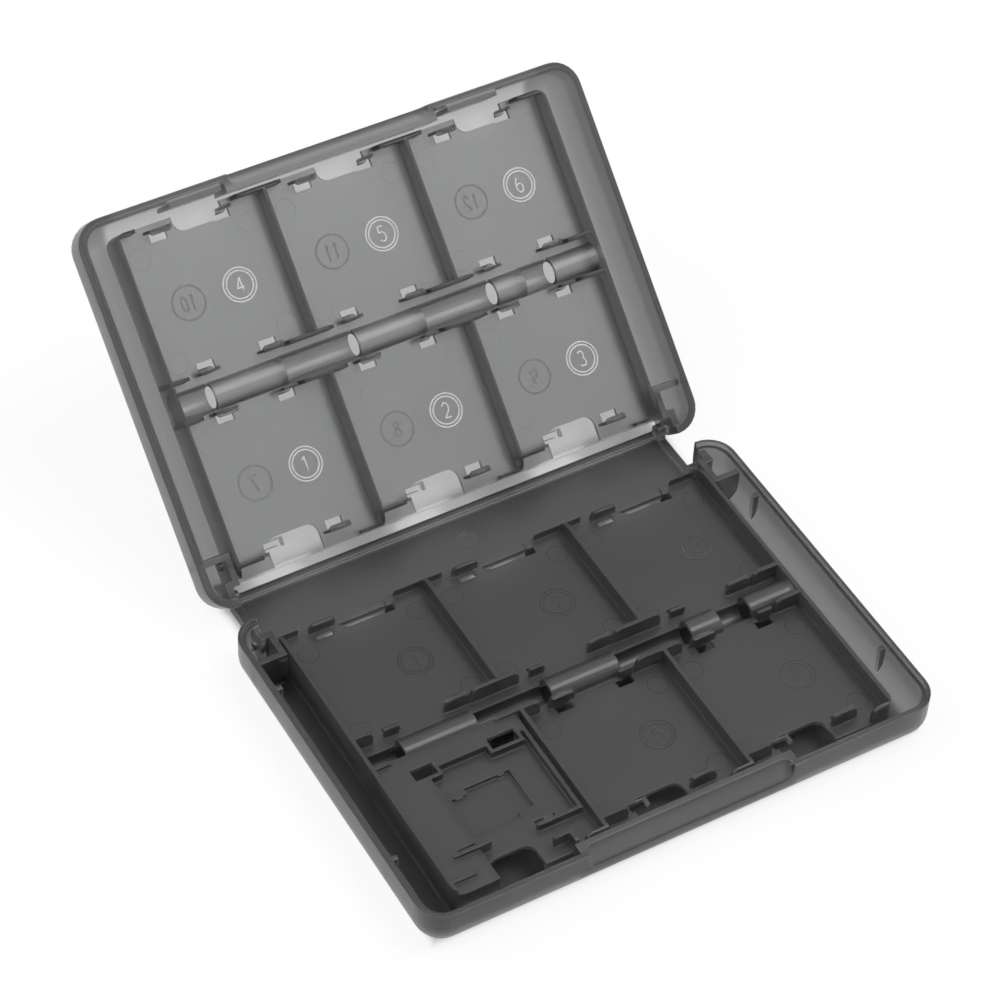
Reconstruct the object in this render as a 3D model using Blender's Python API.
# Hinged game card case in smoke grey plastic, standing open.
#
# Two equal rounded shells hang on one spine plate, so the case opens flat.
# Each shell carries a double sided card tray that turns like a page on two
# short pins held in pods at the hinge side corners.  A tray has card slots on
# both faces and a stylus channel between its two rows, made of half tubes
# that lie by turns above and below the tray's floor.
#
# Frame: metres, +Z up, origin at the middle of the base's underside, the
# hinge towards +Y, the front with the thumb scoop towards -Y.

import math

import bmesh
import bpy
from mathutils import Matrix, Vector

MM = 0.001

# Card slots, which set the size of the trays and so of the case
SLOT_WIDTH = 36.0 * MM
SLOT_LENGTH = 34.5 * MM
COLUMN_WALL = 0.9 * MM
SIDE_WALL = 0.9 * MM
END_WALL = 0.9 * MM

# Trays
TRAY_HEIGHT = 9.4 * MM
TRAY_FLOOR = 1.0 * MM
TRAY_CORNER = 2.6 * MM
TRAY_FRONT_ROUND = 1.0 * MM

# Short walls in the corners of the slots, and how far the outer ones are set back
LEFT_LEG_LENGTH = 4.6 * MM
RIGHT_LEG_LENGTH = 6.7 * MM
LEFT_END_LENGTH = 6.6 * MM
RIGHT_END_LENGTH = 5.0 * MM
LEG_ROUND = 1.8 * MM
LONG_SETBACK = 2.9 * MM
SHORT_SETBACK = 1.2 * MM

# Pins a tray turns on
TRAY_PIN_RADIUS = 1.0 * MM
TRAY_PIN_PLAY = 0.25 * MM
TRAY_PIN_TIP = 1.0 * MM

# Shells, each half of the case
SIDE_ROOM = 7.3 * MM
END_ROOM = 3.0 * MM
RIM_HEIGHT = 11.55 * MM
RIM_GAP = 0.3 * MM
CORNER_RADIUS = 6.6 * MM
BOTTOM_FILLET = 6.0 * MM
WALL = 1.9 * MM
FLOOR = 1.2 * MM
LIP_WIDTH = 0.8 * MM
LIP_DEPTH = 1.0 * MM
TONGUE_HEIGHT = 0.7 * MM
CLEARANCE = 0.3 * MM

# Hinge: the axes in the shells and the plate between them
AXIS_HEIGHT = 4.25 * MM
AXIS_INSET = 1.9 * MM
SPINE_EDGE = 1.95 * MM
SPINE_FLOOR = 1.7 * MM
SPINE_RIM_HEIGHT = 2.5 * MM
SPINE_RIM = 1.9 * MM
SPINE_END_GAP = 0.3 * MM
EAR_RADIUS = 1.6 * MM
SPINE_PIN_RADIUS = 1.0 * MM
SPINE_PIN_PLAY = 0.25 * MM
SPINE_PIN_TIP = 0.5 * MM
GATE_RADIUS = 2.4 * MM
GATE_DEPTH = 0.4 * MM

# Pods, the closed corners beside the hinge
POD_FRONT_ROOM = 1.3 * MM
POD_WALL = 1.4 * MM
BEARING_WALL = 1.6 * MM
POD_DROP = 1.25 * MM

# Ribs that stiffen the side walls
RIB_REACH = 1.4 * MM
RIB_WIDTH = 1.1 * MM
RIB_SHARE = 0.57
RIB_DROP = 0.35 * MM

# Thumb scoop in the front edge of both shells
SCOOP_WIDTH = 52.0 * MM
SCOOP_RADIUS = 6.6 * MM
SCOOP_OUT = 3.85 * MM
SCOOP_RISE = 0.55 * MM
SCOOP_END_RADIUS = 2.0 * MM
SCOOP_WALL = 1.4 * MM

# Snap tongues of the lid and the grooves that take them
CATCH_WIDTH = 13.0 * MM
CATCH_GAP = 2.0 * MM
CATCH_THICKNESS = 1.1 * MM
CATCH_FOOT = 4.7 * MM
CATCH_RISE = 2.9 * MM
CATCH_BEAD = 0.65 * MM
CATCH_BEAD_HEIGHT = 1.1 * MM
CATCH_AXIS_UP = 0.6 * MM
GROOVE_SIDE = 3.5 * MM

# Stylus channel along the middle of a tray
TUBE_RADIUS = 3.5 * MM
TUBE_WALL = 0.9 * MM
LONG_STRIP = 0.8 * MM
SHORT_STRIP = 2.6 * MM
UPPER_TUBE_SHARES = ((-0.835, -0.504), (-0.169, 0.152), (0.494, 0.638), (0.777, 1.0))

# Finger cut-outs, one in the outer edge of each slot, and the tab in a long one
CUTOUT_ROUND = 2.6 * MM
LONG_CUTOUT_START = 9.2 * MM
LONG_CUTOUT_END = 3.8 * MM
LONG_CUTOUT_DEPTH = 6.7 * MM
SHORT_CUTOUT_START = 3.7 * MM
SHORT_CUTOUT_END = 8.6 * MM
SHORT_CUTOUT_DEPTH = 3.9 * MM
TAB_WIDTH = 4.5 * MM
TAB_DEPTH = 2.1 * MM
TAB_GAP = 0.4 * MM

# Clips and stops that hold a card, with a window in the floor under each
CLIP_OFFSET = 7.9 * MM
CLIP_LENGTH = 6.6 * MM
CLIP_ROUND = 2.2 * MM
CLIP_POST = 0.7 * MM
CLIP_NOSE = 0.7 * MM
CLIP_NOSE_HEIGHT = 0.9 * MM
CLIP_DROP = 0.3 * MM
STOP_LENGTH = 3.7 * MM
STOP_HEIGHT = 3.2 * MM
STOP_OFFSET = 8.7 * MM
WINDOW_DEPTH = 2.1 * MM
WINDOW_LENGTH = 4.2 * MM

# Memory card place in the front left slot of the base tray
MEMORY_WIDTH = 24.4 * MM
MEMORY_RIGHT = 0.9 * MM
MEMORY_BACK = 4.6 * MM
MEMORY_STEP = 1.1 * MM
MEMORY_LEDGE = 2.1 * MM
MEMORY_RIB = 0.9 * MM
MEMORY_RIB_LENGTH = 24.4 * MM
MEMORY_RIB_LEG = 10.3 * MM
LEFT_SOCKET_WIDTH = 5.5 * MM
LEFT_SOCKET_OUT = 3.2 * MM
RIGHT_SOCKET_WIDTH = 6.8 * MM
RIGHT_SOCKET_IN = 1.7 * MM
SOCKET_DEPTH = 3.2 * MM
SOCKET_FRAME = 0.8 * MM
SIDE_SLIT_LENGTH = 6.0 * MM
SIDE_SLIT_WIDTH = 1.2 * MM
SIDE_SLIT_START = 21.9 * MM
SIDE_SLIT_OUT = 4.7 * MM
SLIT_WALL_OVER = 1.6 * MM
FRONT_STOP_LENGTH = 4.6 * MM
FRONT_STOP_IN = 4.8 * MM
MEMORY_CUTOUT_LENGTH = 11.4 * MM
MEMORY_CUTOUT_DEPTH = 6.4 * MM
LATCH_WIDTH = 5.1 * MM
LATCH_DEPTH = 2.0 * MM
LATCH_IN = 4.6 * MM
LATCH_TONGUE = 2.0 * MM
MICRO_WIDTH = 15.2 * MM
MICRO_LENGTH = 10.9 * MM
MICRO_START = 6.7 * MM
MICRO_SIDE = 1.8 * MM
MICRO_JOG = 4.0 * MM
MICRO_JOG_DEPTH = 1.5 * MM
MICRO_NUB = 0.8 * MM

# How far the case stands open, and how far a cutter runs past a face
LID_OPENING = math.radians(137.8)
OVERRUN = 2.0 * MM

# Clean-up of the finished meshes, and how finely round forms are cut
MERGE_DISTANCE = 0.002 * MM
FLAT_ANGLE = math.radians(0.05)
SHARP_ANGLE = math.radians(40)
CORNER_STEPS = 7
FILLET_STEPS = 7
ROUND_STEPS = 24
SMALL_STEPS = 4

COLUMNS = 3
COLUMN_PITCH = SLOT_WIDTH + COLUMN_WALL
TRAY_WIDTH = COLUMNS * COLUMN_PITCH - COLUMN_WALL + 2 * SIDE_WALL
LONG_NEAR = TUBE_RADIUS + LONG_STRIP
SHORT_NEAR = TUBE_RADIUS + SHORT_STRIP
TRAY_DEPTH = 2 * (SHORT_NEAR + SLOT_LENGTH + END_WALL)
CASE_WIDTH = TRAY_WIDTH + 2 * (SIDE_ROOM + WALL)
CASE_DEPTH = TRAY_DEPTH + 2 * (END_ROOM + WALL)
HALF_WIDTH = CASE_WIDTH / 2
HALF_DEPTH = CASE_DEPTH / 2
TRAY_HALF_WIDTH = TRAY_WIDTH / 2
TRAY_HALF_DEPTH = TRAY_DEPTH / 2
TRAY_HALF_HEIGHT = TRAY_HEIGHT / 2
FLOOR_HALF = TRAY_FLOOR / 2
PARTING = RIM_HEIGHT + RIM_GAP / 2
AXIS_Y = HALF_DEPTH - AXIS_INSET
AXIS_SPAN = 2 * (PARTING - AXIS_HEIGHT)
TRAY_Z = FLOOR + CLEARANCE + TRAY_HALF_HEIGHT
TRAY_AXIS_Y = TRAY_HALF_DEPTH - TRAY_HALF_HEIGHT
POD_INNER = TRAY_HALF_WIDTH + 1.5 * CLEARANCE
POD_FRONT = TRAY_AXIS_Y - TRAY_PIN_RADIUS - POD_FRONT_ROOM - CLEARANCE
POD_TOP = RIM_HEIGHT - POD_DROP
FLOOR_BACK = AXIS_Y - SPINE_EDGE - CLEARANCE
POD_BACK = FLOOR_BACK - CLEARANCE
SPINE_HALF = POD_INNER + POD_WALL + CLEARANCE / 2
BEARING_INNER = SPINE_HALF + SPINE_END_GAP
BEARING_OUTER = BEARING_INNER + BEARING_WALL
INNER_FRONT = HALF_DEPTH - WALL
RIB_Y = RIB_SHARE * HALF_DEPTH
CHANNEL_HALF = TUBE_RADIUS - TUBE_WALL / 2
SLOT_FAR = TRAY_HALF_DEPTH - END_WALL
SCOOP_Y = HALF_DEPTH + SCOOP_OUT
SCOOP_Z = RIM_HEIGHT + SCOOP_RISE
SCOOP_BACK = SCOOP_Y - SCOOP_RADIUS - SCOOP_WALL
CATCH_START = SCOOP_WIDTH / 2 + SCOOP_WALL + CATCH_GAP
CATCH_FACE = INNER_FRONT - CLEARANCE
CATCH_TOP = RIM_HEIGHT + CATCH_RISE
CATCH_AXIS_Y = CATCH_FACE - CATCH_THICKNESS / 2
CATCH_AXIS_Z = CATCH_FOOT + CATCH_AXIS_UP
LONG_CUTOUT = (-LONG_CUTOUT_START, LONG_CUTOUT_END, LONG_CUTOUT_DEPTH)
SHORT_CUTOUT = (-SHORT_CUTOUT_START, SHORT_CUTOUT_END, SHORT_CUTOUT_DEPTH)

SMOKE = (0.085, 0.086, 0.088, 1.0)


def clear_scene():
    """Remove whatever the scene holds."""
    for obj in list(bpy.data.objects):
        bpy.data.objects.remove(obj, do_unlink=True)
    for mesh in list(bpy.data.meshes):
        bpy.data.meshes.remove(mesh)


def plastic(name, shade):
    """Smoke grey plastic, a little lighter or darker by shade."""
    material = bpy.data.materials.new(name)
    material.use_nodes = True
    shader = material.node_tree.nodes["Principled BSDF"]
    colour = [shade * value for value in SMOKE[:3]]
    shader.inputs["Base Color"].default_value = (*colour, 1.0)
    shader.inputs["Roughness"].default_value = 0.32
    shader.inputs["Metallic"].default_value = 0.0
    return material


def new_object(name, mesh):
    """Object of a mesh, linked to the scene."""
    obj = bpy.data.objects.new(name, mesh)
    bpy.context.scene.collection.objects.link(obj)
    return obj


def from_bmesh(bm, name="tool"):
    """Object of a bmesh with its faces turned outwards."""
    bmesh.ops.recalc_face_normals(bm, faces=bm.faces)
    mesh = bpy.data.meshes.new(name)
    bm.to_mesh(mesh)
    bm.free()
    return new_object(name, mesh)


def block(x_range, y_range, z_range):
    """Box between two values on each axis."""
    bm = bmesh.new()
    bmesh.ops.create_cube(bm, size=1.0)
    size = [abs(pair[1] - pair[0]) for pair in (x_range, y_range, z_range)]
    middle = [(pair[0] + pair[1]) / 2 for pair in (x_range, y_range, z_range)]
    bmesh.ops.scale(bm, vec=size, verts=bm.verts)
    bmesh.ops.translate(bm, vec=middle, verts=bm.verts)
    return from_bmesh(bm)


def prism(outline, start, end, axis="Z"):
    """Closed outline drawn out along an axis, from start to end.

    Along X the outline's pairs are (y, z), along Y they are (x, z), along Z (x, y).
    """
    bm = bmesh.new()
    if axis == "X":
        near = [bm.verts.new((start, a, b)) for a, b in outline]
        step = Vector((end - start, 0, 0))
    elif axis == "Y":
        near = [bm.verts.new((a, start, b)) for a, b in outline]
        step = Vector((0, end - start, 0))
    else:
        near = [bm.verts.new((a, b, start)) for a, b in outline]
        step = Vector((0, 0, end - start))
    face = bm.faces.new(near)
    grown = bmesh.ops.extrude_face_region(bm, geom=[face])
    moved = [item for item in grown["geom"] if isinstance(item, bmesh.types.BMVert)]
    bmesh.ops.translate(bm, vec=step, verts=moved)
    return from_bmesh(bm)


def arc(centre, radius, start, end, steps):
    """Points on an arc, from one angle to another in degrees."""
    points = []
    for index in range(steps + 1):
        angle = math.radians(start + (end - start) * index / steps)
        points.append((centre[0] + radius * math.cos(angle), centre[1] + radius * math.sin(angle)))
    return points


def rod(radius, start, end, y, z):
    """Round rod along X."""
    return prism(arc((y, z), radius, 0, 360, ROUND_STEPS)[:-1], start, end, "X")


def rounded_outline(half_x, half_y, radius, steps):
    """Rectangle about the origin with round corners."""
    points = []
    for sign_x, sign_y, start in ((1, 1, 0), (-1, 1, 90), (-1, -1, 180), (1, -1, 270)):
        centre = (sign_x * (half_x - radius), sign_y * (half_y - radius))
        points += arc(centre, radius, start, start + 90, steps)
    return points


def combine(operation, body, tools):
    """Unite, cut or intersect a body with tools, which are used up."""
    group = bpy.data.collections.new("tools")
    bpy.context.scene.collection.children.link(group)
    for tool in tools:
        bpy.context.scene.collection.objects.unlink(tool)
        group.objects.link(tool)
    modifier = body.modifiers.new("combine", "BOOLEAN")
    modifier.operation = operation
    modifier.solver = "EXACT"
    modifier.operand_type = "COLLECTION"
    modifier.collection = group
    graph = bpy.context.evaluated_depsgraph_get()
    result = bpy.data.meshes.new_from_object(body.evaluated_get(graph))
    body.modifiers.clear()
    body.data = result
    for tool in tools:
        bpy.data.objects.remove(tool, do_unlink=True)
    bpy.data.collections.remove(group)
    return body


def unite(tools):
    """One solid from several that overlap."""
    return combine("UNION", tools[0], tools[1:])


def both_sides(make):
    """What make gives for the left and for the right side."""
    return [tool for side in (-1, 1) for tool in make(side)]


def span(side, inner, outer):
    """Range on X that lies between two distances from the middle, on one side."""
    return (side * inner, side * outer)


def loft(rings, name="tool"):
    """Closed skin through rings of equal count, capped at both ends."""
    bm = bmesh.new()
    rows = [[bm.verts.new(point) for point in ring] for ring in rings]
    count = len(rows[0])
    for low, high in zip(rows, rows[1:]):
        for index in range(count):
            after = (index + 1) % count
            bm.faces.new((low[index], low[after], high[after], high[index]))
    bm.faces.new(rows[0])
    bm.faces.new(rows[-1])
    return from_bmesh(bm, name)


def shell_ring(inset, z):
    """Ring of the shell's rounded plan at a height, drawn in by inset."""
    radius = CORNER_RADIUS - inset
    outline = rounded_outline(HALF_WIDTH - inset, HALF_DEPTH - inset, radius, CORNER_STEPS)
    return [(x, y, z) for x, y in outline]


def fillet_rings(inset, bottom, radius):
    """Rings of the rounded edge between a floor and the walls, from the floor up."""
    rings = []
    for across, up in arc((radius, radius), radius, 270, 180, FILLET_STEPS):
        rings.append(shell_ring(inset + across, bottom + up))
    return rings


def shell_skin(name):
    """Open rounded box of even wall, taller than the finished rim."""
    rings = fillet_rings(0, 0, BOTTOM_FILLET)
    rings.append(shell_ring(0, RIM_HEIGHT + OVERRUN))
    rings.append(shell_ring(WALL, RIM_HEIGHT + OVERRUN))
    rings += reversed(fillet_rings(WALL, FLOOR, BOTTOM_FILLET - WALL))
    return loft(rings, name)


def shell_core():
    """Solid that reaches into the shell's lip, walls and floor, taller than the rim."""
    inset = LIP_WIDTH / 2
    rings = fillet_rings(inset, inset, BOTTOM_FILLET - inset)
    rings.append(shell_ring(inset, RIM_HEIGHT + TONGUE_HEIGHT + LIP_DEPTH))
    return loft(rings)


def plan_prism(inset, low, high):
    """Rounded plan of the shell, drawn in by inset, as a solid between two heights."""
    radius = CORNER_RADIUS - inset
    outline = rounded_outline(HALF_WIDTH - inset, HALF_DEPTH - inset, radius, CORNER_STEPS)
    return prism(outline, low, high)


def scoop_zone(low, high):
    """Part of the front edge beside the thumb scoop, where the rim is plain."""
    half = SCOOP_WIDTH / 2 + SCOOP_WALL
    return block((-half, half), (-HALF_DEPTH - OVERRUN, -SCOOP_BACK + CLEARANCE), (low, high))


def base_rim_cutter():
    """Cuts the base's rim to height, with a ledge inside its thin outer lip."""
    top = RIM_HEIGHT + 2 * OVERRUN
    ledge = plan_prism(LIP_WIDTH, RIM_HEIGHT - LIP_DEPTH, top)
    combine("DIFFERENCE", ledge, [scoop_zone(0, top + OVERRUN)])
    above = block((-CASE_WIDTH, CASE_WIDTH), (-CASE_DEPTH, CASE_DEPTH), (RIM_HEIGHT, top + OVERRUN))
    return unite([ledge, above])


def lid_rim_cutter():
    """Cuts the lid's rim to height, with a tongue that enters the base's lip."""
    top = RIM_HEIGHT + 2 * OVERRUN
    tongue = plan_prism(LIP_WIDTH + CLEARANCE, RIM_HEIGHT - OVERRUN, RIM_HEIGHT + TONGUE_HEIGHT)
    beside_pods = block((-CASE_WIDTH, CASE_WIDTH), (POD_FRONT, CASE_DEPTH), (0, top))
    combine("DIFFERENCE", tongue, [scoop_zone(0, top), beside_pods])
    above = block((-CASE_WIDTH, CASE_WIDTH), (-CASE_DEPTH, CASE_DEPTH), (RIM_HEIGHT, top))
    return combine("DIFFERENCE", above, [tongue])


def pod_walls(side):
    """Walls of one pod: front, inner side, jog and the cheek that bears the spine."""
    jog = POD_BACK - POD_WALL
    cheek = BEARING_INNER - CLEARANCE
    outline = [
        (HALF_WIDTH, POD_FRONT),
        (POD_INNER, POD_FRONT),
        (POD_INNER, POD_BACK),
        (cheek, POD_BACK),
        (cheek, HALF_DEPTH),
        (BEARING_OUTER, HALF_DEPTH),
        (BEARING_OUTER, jog),
        (POD_INNER + POD_WALL, jog),
        (POD_INNER + POD_WALL, POD_FRONT + POD_WALL),
        (HALF_WIDTH, POD_FRONT + POD_WALL),
    ]
    return [prism([(side * x, y) for x, y in outline], 0, POD_TOP)]


def side_ribs(side):
    """Two upright ribs on the inside of one side wall."""
    ribs = []
    for end in (-1, 1):
        y = end * RIB_Y
        top = RIM_HEIGHT - LIP_DEPTH - RIB_DROP
        x_range = span(side, HALF_WIDTH - WALL - RIB_REACH, HALF_WIDTH)
        ribs.append(block(x_range, (y - RIB_WIDTH / 2, y + RIB_WIDTH / 2), (0, top)))
    return ribs


def scoop_bulge():
    """Thicker front wall that the thumb scoop is cut from."""
    half = SCOOP_WIDTH / 2 + SCOOP_WALL
    return block((-half, half), (-HALF_DEPTH, -SCOOP_BACK), (0, RIM_HEIGHT + OVERRUN))


def scoop_cutter():
    """Round bar with rolled ends, whose lower side makes the hollow of the scoop."""
    half = SCOOP_WIDTH / 2
    rings = []
    for side, start, end in ((-1, 90, 0), (1, 0, 90)):
        for less, out in arc((0, 0), SCOOP_END_RADIUS, start, end, FILLET_STEPS):
            x = side * (half - SCOOP_END_RADIUS + out)
            radius = SCOOP_RADIUS - SCOOP_END_RADIUS + less
            circle = arc((-SCOOP_Y, SCOOP_Z), radius, 0, 360, 2 * ROUND_STEPS)[:-1]
            rings.append([(x, y, z) for y, z in circle])
    return loft(rings)


def bores(side):
    """Holes for the tray's pin and the spine's pin on one side."""
    tray_bore = rod(
        TRAY_PIN_RADIUS + TRAY_PIN_PLAY,
        side * (POD_INNER - CLEARANCE),
        side * (POD_INNER + POD_WALL + CLEARANCE),
        TRAY_AXIS_Y,
        TRAY_Z,
    )
    spine_bore = rod(
        SPINE_PIN_RADIUS + SPINE_PIN_PLAY,
        side * (BEARING_INNER - 2 * CLEARANCE),
        side * (BEARING_OUTER + SPINE_PIN_TIP + CLEARANCE),
        AXIS_Y,
        AXIS_HEIGHT,
    )
    return [tray_bore, spine_bore]


def catch_groove(side):
    """Groove in the base's front wall that the bead of a snap tongue enters."""
    bead_top = 2 * PARTING - CATCH_TOP
    z_range = (bead_top - CLEARANCE / 2, bead_top + CATCH_BEAD_HEIGHT + CLEARANCE / 2)
    x_range = span(side, CATCH_START - GROOVE_SIDE, CATCH_START + CATCH_WIDTH + GROOVE_SIDE)
    depth = INNER_FRONT + CATCH_BEAD
    return [block(x_range, (-depth, -INNER_FRONT + CLEARANCE), z_range)]


def make_shell(name, is_lid):
    """One shell, lying on its outer face with its hinge side towards +Y."""
    shell = shell_skin(name)
    fittings = both_sides(pod_walls) + [scoop_bulge()]
    if not is_lid:
        fittings += both_sides(side_ribs)
    fitted = combine("INTERSECT", unite(fittings), [shell_core()])
    combine("UNION", shell, [fitted])
    combine("DIFFERENCE", shell, [lid_rim_cutter() if is_lid else base_rim_cutter()])
    top = RIM_HEIGHT + TONGUE_HEIGHT + OVERRUN
    opening = block((-BEARING_INNER, BEARING_INNER), (FLOOR_BACK, HALF_DEPTH + OVERRUN), (-OVERRUN, top))
    cutters = [opening, scoop_cutter()] + both_sides(bores)
    if not is_lid:
        cutters += both_sides(catch_groove)
    return combine("DIFFERENCE", shell, cutters)


def make_spine(name):
    """Plate between the two axes, lying flat, with its near axis on X through the origin."""
    low = -AXIS_HEIGHT
    end = AXIS_SPAN + SPINE_EDGE
    rim = low + SPINE_RIM_HEIGHT
    near_round = arc((0, low + SPINE_EDGE), SPINE_EDGE, 180, 270, FILLET_STEPS)
    far_round = arc((AXIS_SPAN, low + SPINE_EDGE), SPINE_EDGE, 270, 360, FILLET_STEPS)
    outline = near_round + far_round + [(end, rim), (-SPINE_EDGE, rim)]
    plate = prism(outline, -SPINE_HALF, SPINE_HALF, "X")
    inner = SPINE_HALF - SPINE_RIM
    floor = low + SPINE_FLOOR
    field = block((-inner, inner), (SPINE_RIM - SPINE_EDGE, end - SPINE_RIM), (floor, rim + OVERRUN))
    gate_outline = arc((0, AXIS_SPAN / 2), GATE_RADIUS, 0, 360, ROUND_STEPS)[:-1]
    gate = prism(gate_outline, floor - GATE_DEPTH, rim + OVERRUN)
    combine("DIFFERENCE", plate, [field, gate])
    tip = BEARING_OUTER + SPINE_PIN_TIP
    added = []
    for side in (-1, 1):
        for axis_y in (0, AXIS_SPAN):
            cheek = arc((axis_y, 0), EAR_RADIUS, 0, 180, ROUND_STEPS // 2)
            cheek += [(axis_y - EAR_RADIUS, floor), (axis_y + EAR_RADIUS, floor)]
            added.append(prism(cheek, side * inner, side * SPINE_HALF, "X"))
            added.append(rod(SPINE_PIN_RADIUS, side * (SPINE_HALF - CLEARANCE), side * tip, axis_y, 0))
    combine("UNION", plate, added)
    plate.name = name
    return plate


def tray_side_outline():
    """Side view of a tray: small rounds at its front, a full round about its pins."""
    half = TRAY_HALF_HEIGHT
    front = -TRAY_HALF_DEPTH
    small = TRAY_FRONT_ROUND
    points = arc((TRAY_AXIS_Y, 0), half, -90, 90, ROUND_STEPS // 2)
    points += arc((front + small, half - small), small, 90, 180, FILLET_STEPS)
    points += arc((front + small, small - half), small, 180, 270, FILLET_STEPS)
    return points


def column_centre(column):
    """Middle of a column of slots on X."""
    return (column - (COLUMNS - 1) / 2) * COLUMN_PITCH


def leg(start, end, y_range):
    """Short wall along X from a wall to its free end, with round free corners."""
    side = 1 if end > start else -1
    length = abs(end - start) - LEG_ROUND
    height = TRAY_HALF_HEIGHT - LEG_ROUND
    outline = [(0, -TRAY_HALF_HEIGHT)] + arc((length, -height), LEG_ROUND, 270, 360, SMALL_STEPS // 2)
    outline += arc((length, height), LEG_ROUND, 0, 90, SMALL_STEPS // 2) + [(0, TRAY_HALF_HEIGHT)]
    return prism([(start + side * along, z) for along, z in outline], *y_range, "Y")


def slot_legs(row, near, is_long):
    """Short walls in the corners of one row's slots, at the channel and at the tray's edge."""
    setback = LONG_SETBACK if is_long else 0
    channel = (row * (near - END_WALL), row * near)
    edge = (row * SLOT_FAR, row * TRAY_HALF_DEPTH)
    inner_edge = (row * (SLOT_FAR - setback), row * (TRAY_HALF_DEPTH - setback))
    left_end = LEFT_END_LENGTH if is_long else LEFT_LEG_LENGTH
    right_end = RIGHT_END_LENGTH if is_long else RIGHT_LEG_LENGTH
    legs = []
    for column in range(COLUMNS):
        left = column_centre(column) - SLOT_WIDTH / 2
        right = column_centre(column) + SLOT_WIDTH / 2
        legs.append(leg(left - COLUMN_WALL / 2, left + LEFT_LEG_LENGTH, channel))
        legs.append(leg(right + COLUMN_WALL / 2, right - RIGHT_LEG_LENGTH, channel))
        legs.append(leg(left - COLUMN_WALL / 2, left + left_end, inner_edge))
        legs.append(leg(right + COLUMN_WALL / 2, right - right_end, edge))
    return legs


def half_tubes():
    """Half tubes of the stylus channel, by turns above and below the floor."""
    reach = TRAY_HALF_WIDTH - SIDE_WALL / 2
    inner = TUBE_RADIUS - TUBE_WALL
    edges = [-1.0]
    for start, end in UPPER_TUBE_SHARES:
        edges += [start, end]
    pieces = []
    for index, (start, end) in enumerate(zip(edges, edges[1:])):
        above = 1 if index % 2 else -1
        outer_arc = arc((0, 0), TUBE_RADIUS, 0, 180, ROUND_STEPS // 2)
        inner_arc = arc((0, 0), inner, 180, 0, ROUND_STEPS // 2)
        foot = -FLOOR_HALF
        outline = [(TUBE_RADIUS, foot)] + outer_arc + [(-TUBE_RADIUS, foot), (-inner, foot)]
        outline += inner_arc + [(inner, foot)]
        outline = [(y, above * z) for y, z in outline]
        pieces.append(prism(outline, start * reach + CLEARANCE / 2, end * reach - CLEARANCE / 2, "X"))
    return pieces


def clip(x, y, toward, face):
    """Post with round top corners and a nose that reaches over a card's edge, on one face of the floor."""
    top = TRAY_HALF_HEIGHT - CLIP_DROP
    nose = y + toward * CLIP_NOSE
    back = y - toward * CLIP_POST
    side_view = [(back, 0), (back, top), (y, top), (nose, top - CLIP_NOSE_HEIGHT / 2)]
    side_view += [(y, top - CLIP_NOSE_HEIGHT), (y, 0)]
    side_view = [(along, face * up) for along, up in side_view]
    half = CLIP_LENGTH / 2
    post = prism(side_view, x - half, x + half, "X")
    corner = half - CLIP_ROUND
    front_view = [(x - half, -half), (x + half, -half)]
    front_view += arc((x + corner, top - CLIP_ROUND), CLIP_ROUND, 0, 90, SMALL_STEPS // 2)
    front_view += arc((x - corner, top - CLIP_ROUND), CLIP_ROUND, 90, 180, SMALL_STEPS // 2)
    front_view = [(across, face * up) for across, up in front_view]
    arch = prism(front_view, back - toward * OVERRUN, nose + toward * OVERRUN, "Y")
    return combine("INTERSECT", post, [arch])


def stop(x, y, toward, face):
    """Low plain post opposite a clip, on the other face of the floor."""
    x_range = (x - STOP_LENGTH / 2, x + STOP_LENGTH / 2)
    return block(x_range, (y - toward * CLIP_POST, y), (-face * FLOOR_HALF, face * STOP_HEIGHT))


def window(x, y, toward):
    """Hole in the floor under the nose of a clip."""
    x_range = (x - WINDOW_LENGTH / 2, x + WINDOW_LENGTH / 2)
    return block(x_range, (y, y + toward * WINDOW_DEPTH), (-FLOOR_HALF - OVERRUN, FLOOR_HALF + OVERRUN))


def card_slot(column, row, near, is_long):
    """Clips and holes of one card slot and of the slot on its other face."""
    centre = column_centre(column)
    hold_side = 1 if is_long else -1
    far = SLOT_FAR - (LONG_SETBACK if is_long else SHORT_SETBACK)
    clips = []
    holes = []
    for face in (1, -1):
        side = face * hold_side
        outer_x = centre + side * CLIP_OFFSET
        inner_x = centre - side * CLIP_OFFSET
        clips.append(clip(outer_x, row * far, -row, face))
        clips.append(clip(inner_x, row * near, row, face))
        clips.append(stop(centre - side * STOP_OFFSET, row * near, row, -face))
        holes.append(window(outer_x, row * far, -row))
        holes.append(window(inner_x, row * near, row))
    start, end, depth = LONG_CUTOUT if is_long else SHORT_CUTOUT
    cutout = finger_cutout(centre + start, centre + end, row, depth)
    if is_long:
        tab_end = row * (TRAY_HALF_DEPTH - depth + TAB_GAP)
        tab_x = (centre + start - TAB_GAP, centre + start - TAB_GAP + TAB_WIDTH)
        tab = block(tab_x, (tab_end, tab_end + row * TAB_DEPTH), (-TRAY_HEIGHT, TRAY_HEIGHT))
        combine("DIFFERENCE", cutout, [tab])
    holes.append(cutout)
    return clips, holes


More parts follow.
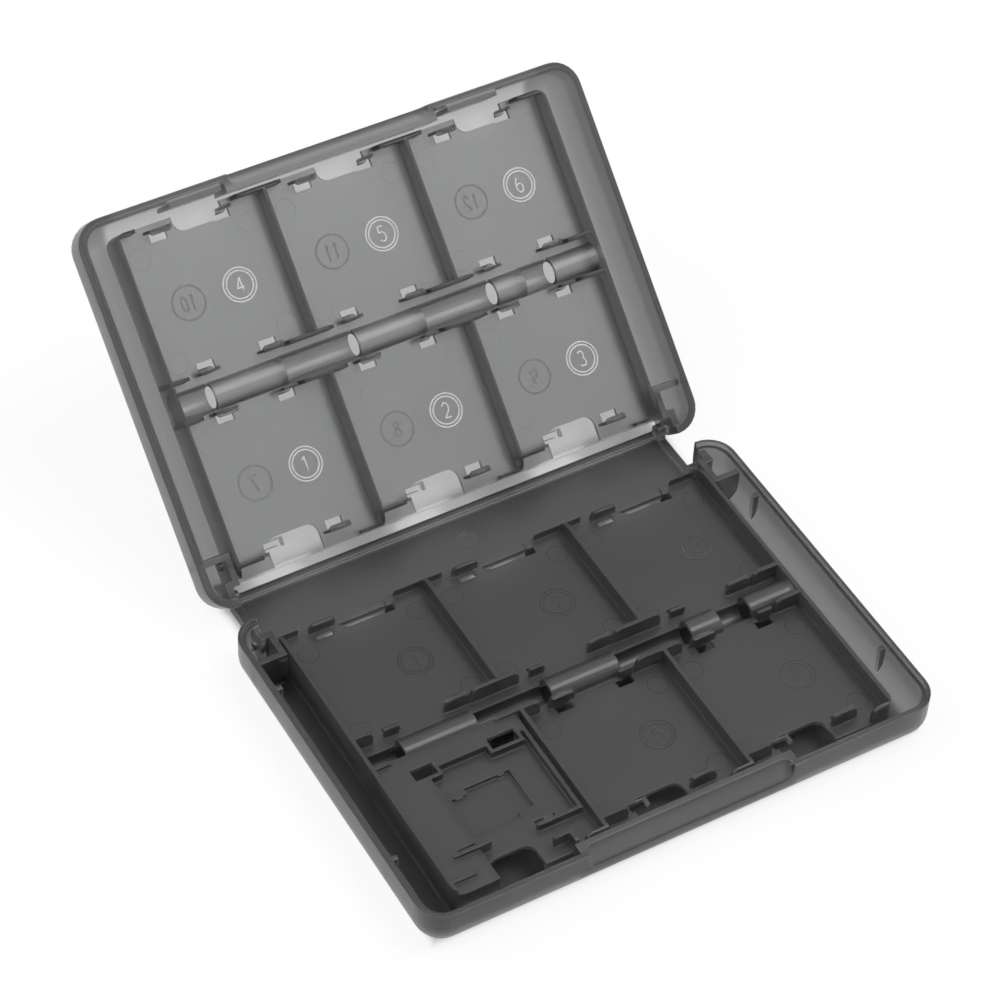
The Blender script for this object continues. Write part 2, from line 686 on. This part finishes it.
def finger_cutout(x_start, x_end, row, depth):
    """Opening in a tray's edge with two round inner corners."""
    inner = row * (TRAY_HALF_DEPTH - depth)
    outer = row * (TRAY_HALF_DEPTH + OVERRUN)
    middle = (x_start + x_end) / 2
    half = (x_end - x_start) / 2
    right = arc((half - CUTOUT_ROUND, -CUTOUT_ROUND), CUTOUT_ROUND, 0, 90, SMALL_STEPS)
    left = arc((CUTOUT_ROUND - half, -CUTOUT_ROUND), CUTOUT_ROUND, 90, 180, SMALL_STEPS)
    points = [(middle + x, inner - row * y) for x, y in right + left]
    points = [(x_end, outer)] + points + [(x_start, outer)]
    return prism(points, -TRAY_HALF_HEIGHT, TRAY_HALF_HEIGHT)


def micro_recess(left, back):
    """Outline of the recess for a small memory card: a rectangle with two stepped corners."""
    right = left + MICRO_WIDTH
    front = back - MICRO_LENGTH
    return [
        (left, back - MICRO_JOG_DEPTH),
        (left + MICRO_JOG, back - MICRO_JOG_DEPTH),
        (left + MICRO_JOG, back),
        (right, back),
        (right, front),
        (right - MICRO_JOG, front),
        (right - MICRO_JOG, front - MICRO_JOG_DEPTH),
        (left, front - MICRO_JOG_DEPTH),
    ]


def socket_frame(x_start, x_end, y, top):
    """Upright frame of a socket, centred on y."""
    near = y - SOCKET_DEPTH / 2 - SOCKET_FRAME
    return block((x_start - SOCKET_FRAME, x_end + SOCKET_FRAME), (near, y), (-FLOOR_HALF, top))


def socket_hole(x_start, x_end, y):
    """Hole of a socket, centred on y."""
    half = SOCKET_DEPTH / 2
    return block((x_start, x_end), (y - half, y + half), (-TRAY_HEIGHT, TRAY_HEIGHT))


def memory_place():
    """Solids added, solids cut and nubs added last for the memory cards in the front left slot.

    The floor steps up in plates of even thickness, hollow from below, round a
    recess for a small card that keeps the height of the tray's floor.
    """
    left = column_centre(0) - SLOT_WIDTH / 2
    right = column_centre(0) + SLOT_WIDTH / 2
    pocket_right = right - MEMORY_RIGHT - MEMORY_RIB
    pocket_left = pocket_right - MEMORY_WIDTH
    near = -LONG_NEAR
    back = near - MEMORY_BACK
    edge = -TRAY_HALF_DEPTH
    raised = FLOOR_HALF + MEMORY_STEP
    ledge = raised + MEMORY_LEDGE
    outer_left = left - SIDE_WALL / 2
    outer_right = right + COLUMN_WALL / 2
    rib_x = (pocket_right, pocket_right + MEMORY_RIB)
    rib_front = back - MEMORY_RIB_LENGTH
    leg_x = (pocket_right - MEMORY_RIB_LEG, pocket_right + MEMORY_RIB)
    added = [
        block((outer_left, outer_right), (edge, -CHANNEL_HALF), (-FLOOR_HALF, raised)),
        block((outer_left, pocket_left), (edge, -CHANNEL_HALF), (-FLOOR_HALF, ledge)),
        block((outer_left, rib_x[1]), (back, -CHANNEL_HALF), (-FLOOR_HALF, ledge)),
        block(rib_x, (rib_front, back + MEMORY_RIB), (-FLOOR_HALF, ledge)),
        block(leg_x, (rib_front, rib_front + MEMORY_RIB), (-FLOOR_HALF, ledge)),
    ]
    stop_right = pocket_right - FRONT_STOP_IN
    stop_x = (stop_right - FRONT_STOP_LENGTH, stop_right)
    stop_y = (edge + LONG_SETBACK, edge + LONG_SETBACK + END_WALL)
    up = (-FLOOR_HALF, TRAY_HALF_HEIGHT)
    added.append(block(stop_x, stop_y, up))
    added.append(block((stop_right - END_WALL, stop_right), (edge, stop_y[1]), up))
    left_socket = pocket_left - LEFT_SOCKET_OUT
    right_socket = pocket_right - RIGHT_SOCKET_IN - RIGHT_SOCKET_WIDTH
    sockets = (
        (left_socket, left_socket + LEFT_SOCKET_WIDTH, back),
        (right_socket, right_socket + RIGHT_SOCKET_WIDTH, back),
    )
    added += [socket_frame(*socket, ledge) for socket in sockets]
    cuts = [socket_hole(*socket) for socket in sockets]

    micro_left = pocket_left + MICRO_SIDE
    micro_back = back - MICRO_START
    micro_front = micro_back - MICRO_LENGTH
    recess = micro_recess(micro_left, micro_back)
    cuts.append(prism(recess, FLOOR_HALF, raised + CLEARANCE))
    below = -TRAY_HEIGHT
    hollow = block((left, right), (-SLOT_FAR, near), (below, raised - TRAY_FLOOR))
    skirt_x = (micro_left - TRAY_FLOOR, micro_left + MICRO_WIDTH + TRAY_FLOOR)
    skirt_y = (micro_front - MICRO_JOG_DEPTH - TRAY_FLOOR, micro_back + TRAY_FLOOR)
    combine("DIFFERENCE", hollow, [block(skirt_x, skirt_y, (-FLOOR_HALF, TRAY_HEIGHT))])
    ledge_floor = ledge - TRAY_FLOOR
    cuts.append(hollow)
    cuts.append(block((left, pocket_left - TRAY_FLOOR), (-SLOT_FAR, near), (below, ledge_floor)))
    cuts.append(block((left, pocket_right), (back + TRAY_FLOOR, near), (below, ledge_floor)))

    through = (-TRAY_HEIGHT, TRAY_HEIGHT)
    latch_y = rib_front + MEMORY_RIB
    latch_x = pocket_right - LATCH_IN - LATCH_WIDTH
    cuts.append(block((latch_x, latch_x + LATCH_WIDTH), (latch_y, latch_y + LATCH_DEPTH), through))
    slit_x = pocket_left - SIDE_SLIT_OUT
    slit_y = back - SIDE_SLIT_START
    slit = (slit_x, slit_x + SIDE_SLIT_LENGTH)
    cuts.append(block(slit, (slit_y - SIDE_SLIT_WIDTH, slit_y), through))
    cutout = (pocket_left, pocket_left + MEMORY_CUTOUT_LENGTH)
    cuts.append(finger_cutout(*cutout, -1, MEMORY_CUTOUT_DEPTH))

    half = MICRO_NUB / 2
    left_x = micro_left + MICRO_JOG / 2
    right_x = micro_left + MICRO_WIDTH - MICRO_JOG / 2
    spots = (
        (left_x, micro_back - MICRO_JOG_DEPTH),
        (right_x, micro_back),
        (left_x, micro_front - MICRO_JOG_DEPTH),
        (right_x, micro_front),
    )
    nubs = []
    for x, y in spots:
        nub_z = (FLOOR_HALF - CLEARANCE, raised - CLEARANCE)
        nubs.append(block((x - MICRO_NUB, x + MICRO_NUB), (y - half, y + half), nub_z))
    tongue_start = latch_x + (LATCH_WIDTH - LATCH_TONGUE) / 2
    tongue_y = (latch_y - MEMORY_RIB, latch_y + CLIP_NOSE)
    tongue_z = (ledge - CLIP_NOSE_HEIGHT, ledge)
    nubs.append(block((tongue_start, tongue_start + LATCH_TONGUE), tongue_y, tongue_z))
    slit_wall_x = (slit[0] - SLIT_WALL_OVER, slit[1] + SLIT_WALL_OVER)
    slit_wall_y = (slit_y - SIDE_SLIT_WIDTH - MEMORY_RIB, slit_y - SIDE_SLIT_WIDTH)
    nubs.append(block(slit_wall_x, slit_wall_y, (raised - TRAY_FLOOR, ledge + MEMORY_STEP)))
    return added, cuts, nubs


def tray_walls():
    """Floor, side walls and column walls of a tray."""
    up = (-TRAY_HALF_HEIGHT, TRAY_HALF_HEIGHT)
    across = (-TRAY_HALF_WIDTH, TRAY_HALF_WIDTH)
    along = (-TRAY_HALF_DEPTH, TRAY_HALF_DEPTH)
    walls = [block(across, along, (-FLOOR_HALF, FLOOR_HALF))]
    for side in (-1, 1):
        walls.append(block(span(side, TRAY_HALF_WIDTH - SIDE_WALL, TRAY_HALF_WIDTH), along, up))
    return walls


def column_walls(row, near):
    """Walls between the columns of one row of slots."""
    walls = []
    for column in range(COLUMNS - 1):
        middle = column_centre(column) + COLUMN_PITCH / 2
        x_range = (middle - COLUMN_WALL / 2, middle + COLUMN_WALL / 2)
        y_range = (row * (near - END_WALL), row * TRAY_HALF_DEPTH)
        walls.append(block(x_range, y_range, (-TRAY_HALF_HEIGHT, TRAY_HALF_HEIGHT)))
    return walls


def tray_pin(side):
    """Pin of a tray on one side, that turns in the shell's pod."""
    start = side * (TRAY_HALF_WIDTH - SIDE_WALL / 2)
    return rod(TRAY_PIN_RADIUS, start, side * (POD_INNER + POD_WALL + TRAY_PIN_TIP), TRAY_AXIS_Y, 0)


def make_tray(name, is_base):
    """Double sided tray about its own middle, hinge edge towards +Y."""
    pieces = tray_walls()
    holes = []
    nubs = []
    for row in (-1, 1):
        is_long = (row < 0) == is_base
        near = LONG_NEAR if is_long else SHORT_NEAR
        pieces += column_walls(row, near) + slot_legs(row, near, is_long)
        for column in range(COLUMNS):
            if is_base and row < 0 and column == 0:
                added, cuts, nubs = memory_place()
            else:
                added, cuts = card_slot(column, row, near, is_long)
            pieces += added
            holes += cuts
    tray = unite(pieces)
    past = TRAY_HALF_WIDTH + OVERRUN
    combine("INTERSECT", tray, [prism(tray_side_outline(), -past, past, "X")])
    plan = rounded_outline(TRAY_HALF_WIDTH, TRAY_HALF_DEPTH, TRAY_CORNER, CORNER_STEPS)
    combine("INTERSECT", tray, [prism(plan, -TRAY_HEIGHT, TRAY_HEIGHT)])
    inside = TRAY_HALF_WIDTH - SIDE_WALL
    channel_up = (-TRAY_HALF_HEIGHT, TRAY_HALF_HEIGHT)
    holes.append(block((-inside, inside), (-CHANNEL_HALF, CHANNEL_HALF), channel_up))
    combine("DIFFERENCE", tray, holes)
    combine("UNION", tray, half_tubes() + [tray_pin(-1), tray_pin(1)] + nubs)
    entry = rod(TUBE_RADIUS - TUBE_WALL, inside - OVERRUN, past, 0, 0)
    combine("DIFFERENCE", tray, [entry])
    tray.name = name
    return tray


def make_catch(name, side):
    """Snap tongue of the lid with an outward bead at its tip."""
    y = -CATCH_FACE
    inner = y + CATCH_THICKNESS
    bead_low = CATCH_TOP - CATCH_BEAD_HEIGHT
    outline = [(y, CATCH_FOOT), (inner, CATCH_FOOT), (inner, CATCH_TOP), (y, CATCH_TOP)]
    outline += arc((y, (CATCH_TOP + bead_low) / 2), CATCH_BEAD, 90, 270, FILLET_STEPS)
    catch = prism(outline, side * CATCH_START, side * (CATCH_START + CATCH_WIDTH), "X")
    catch.name = name
    return catch


def settle(obj, matrix, material):
    """Move a finished mesh to its axis, clean it, and give it its material."""
    obj.data.transform(matrix)
    bm = bmesh.new()
    bm.from_mesh(obj.data)
    bmesh.ops.remove_doubles(bm, verts=bm.verts, dist=MERGE_DISTANCE)
    bmesh.ops.dissolve_limit(bm, angle_limit=FLAT_ANGLE, verts=bm.verts, edges=bm.edges)
    bmesh.ops.triangulate(bm, faces=bm.faces)
    bmesh.ops.recalc_face_normals(bm, faces=bm.faces)
    bm.to_mesh(obj.data)
    bm.free()
    obj.data.materials.clear()
    obj.data.materials.append(material)
    obj.data.shade_smooth()
    obj.data.set_sharp_from_angle(angle=SHARP_ANGLE)
    return obj


def shift(x, y, z):
    """Matrix that moves a mesh."""
    return Matrix.Translation((x, y, z))


def main():
    clear_scene()
    dark = plastic("base_plastic", 0.85)
    light = plastic("lid_plastic", 1.15)
    mirror_y = Matrix.Scale(-1.0, 4, (0, 1, 0))

    base = settle(make_shell("base_shell", False), Matrix.Identity(4), dark)

    spine = settle(make_spine("spine"), Matrix.Identity(4), dark)
    spine.parent = base
    spine.location = (0, AXIS_Y, AXIS_HEIGHT)

    lid = settle(make_shell("lid_shell", True), mirror_y @ shift(0, -AXIS_Y, -AXIS_HEIGHT), light)
    lid.parent = spine
    lid.location = (0, AXIS_SPAN, 0)
    lid.rotation_euler = (math.pi - LID_OPENING, 0, 0)

    base_tray = settle(make_tray("base_tray", True), shift(0, -TRAY_AXIS_Y, 0), dark)
    base_tray.parent = base
    base_tray.location = (0, TRAY_AXIS_Y, TRAY_Z)

    lid_tray = settle(make_tray("lid_tray", False), mirror_y @ shift(0, -TRAY_AXIS_Y, 0), light)
    lid_tray.parent = lid
    lid_tray.location = (0, AXIS_Y - TRAY_AXIS_Y, TRAY_Z - AXIS_HEIGHT)

    for side, name in ((-1, "catch_left"), (1, "catch_right")):
        mesh_shift = mirror_y @ shift(0, CATCH_AXIS_Y, -CATCH_AXIS_Z)
        catch = settle(make_catch(name, side), mesh_shift, light)
        catch.parent = lid
        catch.location = (0, AXIS_Y + CATCH_AXIS_Y, CATCH_AXIS_Z - AXIS_HEIGHT)


main()
